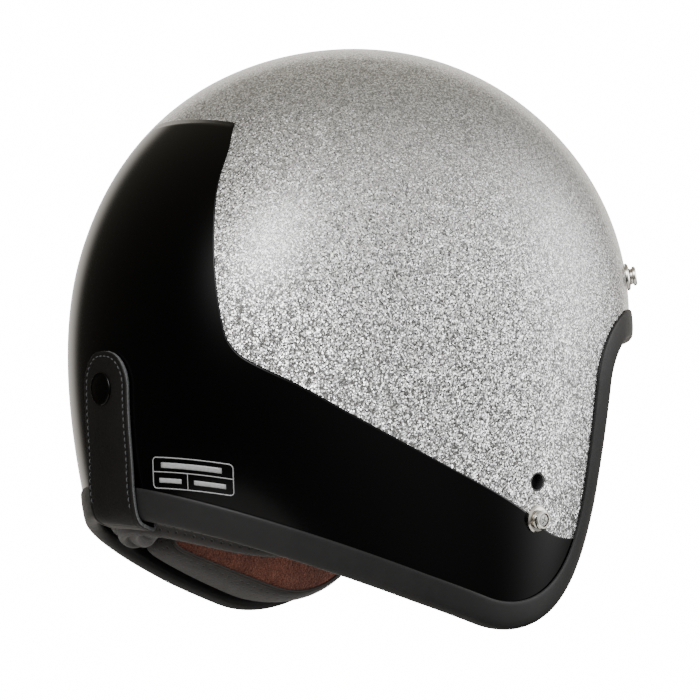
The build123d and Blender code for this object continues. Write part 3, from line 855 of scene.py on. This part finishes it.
def neck_section(turn, angle):
    """Point of the neck roll at an angle about Z and an angle round its section; its underside sags."""
    taper = np.sqrt(np.clip(1 - np.abs(turn / neck_reach) ** 5, 0.02, 1))
    seams = sum(np.exp(-((angle - seam) / neck_seam_half) ** 2) for seam in neck_seams)
    full = taper * (1 - neck_seam_depth * np.clip(seams, 0, 1) * taper)
    z = neck_level + neck_half_height * full * power(np.sin(angle), 0.85)
    offset = neck_half_depth * full * power(np.cos(angle), 0.85) - neck_depth
    sag = neck_sag * taper * (1 - np.sin(angle)) / 2
    return at_offset(*by_turn_and_z(turn, z), offset) - sag[..., None] * np.array([0, 0, 1])


def neck_piece():
    """Roll round the nape, sewn into channels that swell between curved seams."""
    turn, angle = np.meshgrid(67 * np.sin(np.linspace(-pi / 2, pi / 2, 130)),
                              np.linspace(-pi, pi, 110, endpoint=False), indexing="ij")
    return padded_grid("neck_roll_cover", neck_section(turn, angle), [lining])


def neck_piping(index, angle):
    """Thin cord of piping sewn along one seam of the neck roll."""
    turn = np.linspace(-64, 64, 160)
    path = neck_section(turn, np.full(160, angle))
    return tube(f"neck_piping_{index}", path, 0.75, piping_cloth, closed=False)


cheek_setback, cheek_face, cheek_skin, cheek_foot = 2.8, 66.6, -7.7, 2.0
cheek_back, cheek_top, cheek_corner = 29.5, 95.5, 3.0
cheek_centre, cheek_band, cheek_face_rings = (-28.0, 54.0), 7.5, 40


def round_least(sides, corner):
    """Least of several distances, with a rounded corner where two of them meet."""
    return -corner * np.log(np.exp(-np.clip(np.stack(sides) / corner, -20, 30)).sum(0))


def cheek_edge(y, z):
    """Distance in from the cheek pad's outline, in the side view, with its corners rounded."""
    rim = rim_depth(np.stack([y * 0, y, z], -1)) - cheek_setback
    return round_least([rim, cheek_back - y, cheek_top - z, z - cheek_foot], cheek_corner)


def on_cheek(angle, reach):
    """Y and Z at a reach from the cheek pad's centre."""
    return cheek_centre[0] + reach * np.cos(angle), cheek_centre[1] + reach * np.sin(angle)


def cheek_points(hand):
    """Rings of the cheek pad: the plush face, the rolled fabric border, and the back against its plate."""
    angle = np.linspace(0, 2 * pi, 200, endpoint=False)
    whole, face_edge = (
        last_inside(lambda reach: cheek_edge(*on_cheek(angle, reach)) < inset, angle * 0, angle * 0 + 110.0)
        for inset in (0.0, cheek_band))
    crown, crown_reach, ear_rise, ear_y, ear_z, ear_half_y, ear_half_z = 3.5, 6, 5.0, 2, 66, 21, 19
    rings = [(share * face_edge, 0.0) for share in np.linspace(0.03, 1, cheek_face_rings)]
    rings += [(face_edge + (whole - face_edge) * sin(roll * pi / 2), 1 - cos(roll * pi / 2))
              for roll in np.linspace(0.06, 1, 18)]
    rings += [(share * whole, 1.0) for share in np.linspace(0.97, 0.03, 16)]
    points = []
    for reach, back in rings:
        y, z = on_cheek(angle, reach)
        skin = at_offset(*by_y_and_z(y, z, hand), cheek_skin)
        edge = np.clip(cheek_edge(y, z) - cheek_band, 0, 40)
        ear = ear_rise * np.exp(-(((y - ear_y) / ear_half_y) ** 2 + ((z - ear_z) / ear_half_z) ** 4))
        face = cheek_face + crown * np.exp(-edge / crown_reach) + ear
        x = np.abs(skin[:, 0]) * back + face * (1 - back)
        points.append(np.stack([hand * x, y + (skin[:, 1] - y) * back, z + (skin[:, 2] - z) * back], -1))
    return np.stack(points)


def cheek_pad(hand, side):
    """Cheek pad: plush towards the face, perforated fabric round its border, piping between them."""
    points = cheek_points(hand)
    edge = cheek_face_rings - 1
    pad = padded_grid(f"cheek_cushion_{side}", points, [lining, pile], edge, 50)
    cord = tube(f"cheek_piping_{side}", points[edge] + (-0.3 * hand, 0, 0), 0.9, piping_cloth)
    return pad, cord


def crown_edge(points):
    """Distance in from the edge of the crown liner, which comes lower behind the ears."""
    side_floor, nape_fall, rim_gap, corner = 98.5, 36.0, 20, 4.0
    floor = side_floor - nape_fall * ease((points[..., 1] - 22) / 18)
    return round_least([rim_depth(points) - rim_gap, points[..., 2] - floor], corner)


def crown_piece():
    """Plush crown liner, quilted along the head, with a rounded edge."""
    angle = np.linspace(0, 2 * pi, 220, endpoint=False)
    foam_face, thickness, seam_depth, seam_half = -28.6, 6.2, 2.6, 2.4
    side_seam, cross_seam, edge_reach = 36, 18, 6

    def chart(reach):
        return np.tan(reach / 2) * np.cos(angle), np.tan(reach / 2) * np.sin(angle)

    whole = last_inside(lambda reach: crown_edge(on_form(*chart(reach))) < 0,
                        angle * 0 + 0.2, angle * 0 + 2.3)
    rings = [(whole * share, True) for share in np.linspace(0.02, 1, 80)]
    rings += [(whole * share, False) for share in np.linspace(0.995, 0.02, 40)]
    points = []
    for reach, inner in rings:
        here = on_form(*chart(reach))
        edge = np.clip(crown_edge(here) / edge_reach, 0, 1)
        seams = sum(np.exp(-(gap / seam_half) ** 2)
                    for gap in (np.abs(here[:, 0]) - side_seam, here[:, 1] - cross_seam))
        depth = thickness * np.sqrt(1 - (1 - edge) ** 2) - seam_depth * np.clip(seams, 0, 1) * edge
        points.append(at_offset(*chart(reach), foam_face - 0.1 - depth if inner else foam_face))
    return padded_grid("crown_liner_cover", np.stack(points), [pile], 0, 78)


def brow_piece():
    """Brow band: a padded band of perforated fabric over the brow and down both temples."""
    lowest, furthest_back, middle_offset, half_thickness = 101, -60, -32.8, 4.1
    near, far_low, far_fall = 18.6, 50, 25  # edges of the band, as distances in from the rim
    u, v = trace_rim(420)
    rim = on_form(u, v)
    kept = (rim[:, 2] > lowest) & (rim[:, 1] < furthest_back)
    u, v, rim = u[kept], v[kept], rim[kept]
    far = far_low - far_fall * ease((rim[:, 2] - 130) / 48)
    share = np.linspace(0, 1, len(u))
    taper = np.sqrt(np.clip(1 - (1 - share) ** 14, 0.03, 1))
    columns = []
    for c, s in circle(56):
        depth = (near + far) / 2 - (far - near) / 2 * power(c, 0.5) * taper
        offset = middle_offset + half_thickness * power(s, 0.7) * taper
        columns.append(at_offset(*climb(u, v, rim_depth, depth, 16), offset))
    half = np.stack(columns, 1)
    half[-1, :, 0] = 0
    return padded_grid("brow_band_cover", np.vstack([half, half[-2::-1] * (-1, 1, 1)]), [lining])


def sleeve_piece(node, side):
    """Padded fabric sleeve on one half of the chin strap."""
    low, high = (np.array(corner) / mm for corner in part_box(node))
    middle, half = (low + high) / 2, (high - low) / 2
    angle = np.linspace(-pi, pi, 56, endpoint=False)
    rings = []
    for share in np.linspace(-1, 1, 44):
        end = sqrt(max(1 - abs(share) ** 16, 0.25))
        rings.append(np.stack([middle[0] + half[0] * end * power(np.sin(angle), 0.8),
                               middle[1] + (half[1] - 0.6 * (1 - end)) * power(np.cos(angle), 0.55),
                               np.full(56, middle[2] + share * half[2])], -1))
    return padded_grid(f"chin_sleeve_cover_{side}", np.stack(rings), [lining])


# -------- label
label_lift, frame_radius, rule_radius, bar_thickness = 0.16, 0.27, 0.24, 0.12
label_corners = np.array([(-30.6, 30.6), (-65.5, 34.7), (-63.6, 21.8), (-29.0, 17.7)])


def on_label(s, t):
    """Place just above the shell at shares s along and t down the label."""
    s, t = alike(s, t)
    top = label_corners[0] + (label_corners[1] - label_corners[0]) * s[..., None]
    bottom = label_corners[3] + (label_corners[2] - label_corners[3]) * s[..., None]
    x, z = np.moveaxis(top + (bottom - top) * t[..., None], -1, 0)
    return at_offset(*by_x_and_z(x, z), label_lift)


def label_frame():
    """Rounded frame of the label."""
    wide, tall = 0.045, 0.13
    corners = ((1 - wide, tall, -90), (1 - wide, 1 - tall, 0), (wide, 1 - tall, 90), (wide, tall, 180))
    path = [(s + wide * cos(radians(a)), t + tall * sin(radians(a)))
            for s, t, start in corners for a in range(start, start + 91, 15)]
    path = np.array(path + path[:1])
    steps = np.linspace(0, len(path) - 1, 260, endpoint=False)
    s, t = resample(path, np.arange(len(path)), steps).T
    return tube("label_frame", on_label(s, t), frame_radius, print_line)


def label_line(name, start, end):
    """Straight printed line between two places on the label."""
    s, t = np.linspace(start, end, 40).T
    return tube(name, on_label(s, t), rule_radius, print_line, closed=False)


def label_bar(name, s_range, t_range):
    """Plain printed bar where the label has a line of lettering."""
    s, t = np.meshgrid(np.linspace(*s_range, 16), np.linspace(*t_range, 4), indexing="ij")
    piece = new_piece(name, on_label(s, t).reshape(-1, 3), grid_faces(16, 4), [print_line])
    return modify(piece, "SOLIDIFY", thickness=bar_thickness * mm, offset=0)


# -------- assembly
def place(piece, body="root", stands_for=()):
    """Joins a finished piece to its body and hides the CAD nodes it stands for."""
    if body:
        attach(piece, body)
    if stands_for:
        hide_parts(*stands_for)
    return piece


def refinish(material, *nodes):
    """Gives CAD nodes their finished material."""
    for node in nodes:
        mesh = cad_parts[node].data
        mesh.materials.clear()
        mesh.materials.append(material)


place(shell_piece(), stands_for=["outer_shell"])
place(panel_piece())
place(trim_piece(), stands_for=["edge_trim"])

strap, strap_root = strap_pieces()
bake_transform(strap)
place(strap, None, ["goggle_strap"])
place(strap_root, stands_for=["goggle_strap_root"])
stitches = strap_stitches()
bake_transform(stitches)
place(snap_cap(), "goggle_strap", ["goggle_strap_cap"])

place(swell(neck_piece(), 1.2), stands_for=["neck_roll"])
for number, seam in enumerate(neck_seams, 1):
    place(neck_piping(number, seam))
for hand, side in ((1, "left"), (-1, "right")):
    cushion, piping = cheek_pad(hand, side)
    place(swell(cushion, 1.0), stands_for=[f"cheek_pad_{side}"])
    place(piping)
    place(sleeve_piece(f"chin_sleeve_{side}", side), f"chin_strap_{side}",
          [f"chin_sleeve_{side}"])
place(crown_piece(), stands_for=["crown_liner"])
place(brow_piece(), stands_for=["brow_band"])

place(label_frame())
place(label_line("label_rule", (0.0, 0.47), (1.0, 0.47)))
place(label_line("label_divider", (0.48, 0.47), (0.48, 1.0)))
place(label_bar("label_bar_top", (0.12, 0.88), (0.16, 0.34)))
place(label_bar("label_bar_left", (0.09, 0.40), (0.67, 0.82)))
place(label_bar("label_bar_right", (0.56, 0.92), (0.67, 0.82)))

refinish(foam, "eps_liner")
refinish(black_plastic, "cheek_plate_left", "cheek_plate_right", "side_vent_cups", "buckle_housing")
refinish(moulded("tongue_plastic", (0.020, 0.020, 0.021), 0.35), "buckle_tongue")
refinish(moulded("lever_plastic", (0.30, 0.012, 0.010), 0.4), "buckle_lever")
refinish(bright, "side_snap_studs", "brow_snap_studs", "goggle_stud", "goggle_strap_socket")
refinish(zinc, "stud_screws", "stud_nuts", "goggle_root_rivets", "chin_anchor_plates", "chin_anchor_rivets",
         "buckle_bar", "buckle_lever_pin", "buckle_lever_spring")
refinish(webbing, "chin_strap_root_left", "chin_strap_root_right", "chin_webbing_left", "chin_webbing_right")
refinish(rubber("keeper_rubber", (0.022, 0.022, 0.023), 0.5), "strap_keeper")


# -------- camera, light and floor
scene = bpy.context.scene
# The photo's camera: its three axes, place and lens
right = Vector((-0.5732, -0.7718, 0.2752))
up = Vector((0.0099, 0.3292, 0.9442))
back = Vector((-0.8194, 0.5439, -0.1810))
lens = bpy.data.cameras.new("camera")
lens.lens, lens.sensor_width, lens.clip_start, lens.clip_end = 333.1, 36.0, 0.1, 25.0
camera = bpy.data.objects.new("camera", lens)
turned = Matrix((right, up, back)).transposed().to_4x4()
camera.matrix_world = Matrix.Translation((-2.5281, 1.6783, -0.4382)) @ turned
scene.collection.objects.link(camera)
scene.camera = camera


def studio():
    """Studio surroundings: soft boxes and dark flats round the object, and a white sweep behind it."""
    world = bpy.data.worlds.new("studio")
    scene.world = world
    world.use_nodes = True
    world.node_tree.nodes.clear()
    n = Tree(world.node_tree)
    direction = n.add("TexCoord")["Generated"]

    def lobe(a, b, c, spread, colour, edge=1):
        """Soft patch of light in a direction given along the camera's right, up and back."""
        towards = (right * a + up * b + back * c).normalized()
        turned = n.vectors("NORMALIZE", {0: direction})[0]
        gap = n.maths("SUBTRACT", 1.0, n.vectors("DOT_PRODUCT", {0: turned, 1: towards})["Value"])
        fall = n.maths("POWER", n.maths("DIVIDE", gap, radians(spread) ** 2), edge)
        amount = n.maths("EXPONENT", n.maths("MULTIPLY", fall, -1.0))
        return n.vectors("SCALE", {0: colour, "Scale": amount})[0]

    light = n.add("CombineXYZ", {0: 0.035, 1: 0.033, 2: 0.03})[0]
    for lobe_light in (
        lobe(-0.36, 0.53, 0.77, 11, (23.0, 22.8, 22.8)),  # soft box above and left of the camera
        lobe(0.958, 0.242, -0.155, 14, (8.0, 8.0, 8.0)),  # strip that lights the right side
        lobe(0.5, 0.40, 0.77, 26, (1.15, 1.15, 1.15)),  # wide fill from the right
        lobe(0.0, 0.0, -1.0, 23, (1.25, 1.18, 1.08), 4),  # white sweep behind the object
        lobe(0.0, 0.96, -0.29, 35, (0.40, 0.37, 0.29)),  # light from above
    ):
        light = n.vectors("ADD", {0: light, 1: lobe_light})[0]
    lit = n.add("Background", {"Color": light, "Strength": 1.0})[0]
    white = n.add("Background", {"Color": (1.0, 1.0, 1.0, 1.0), "Strength": 16.0})[0]
    seen = n.add("LightPath")["Is Camera Ray"]
    mixed = n.add("MixShader", {0: seen, 1: lit, 2: white})[0]
    n.add("OutputWorld", {"Surface": mixed})


studio()

floor_paint = two_tone("floor", (0.8,), (0.80, 0.80, 0.79), (0.84, 0.84, 0.83), Roughness=0.8)
floor_radius, floor_level = 1300, -1000.0  # far below, so that the low camera looks over it
ring = [(floor_radius * c, floor_radius * s, floor_level) for c, s in circle(64)]
floor = new_piece("floor", ring, [range(64)], [floor_paint])
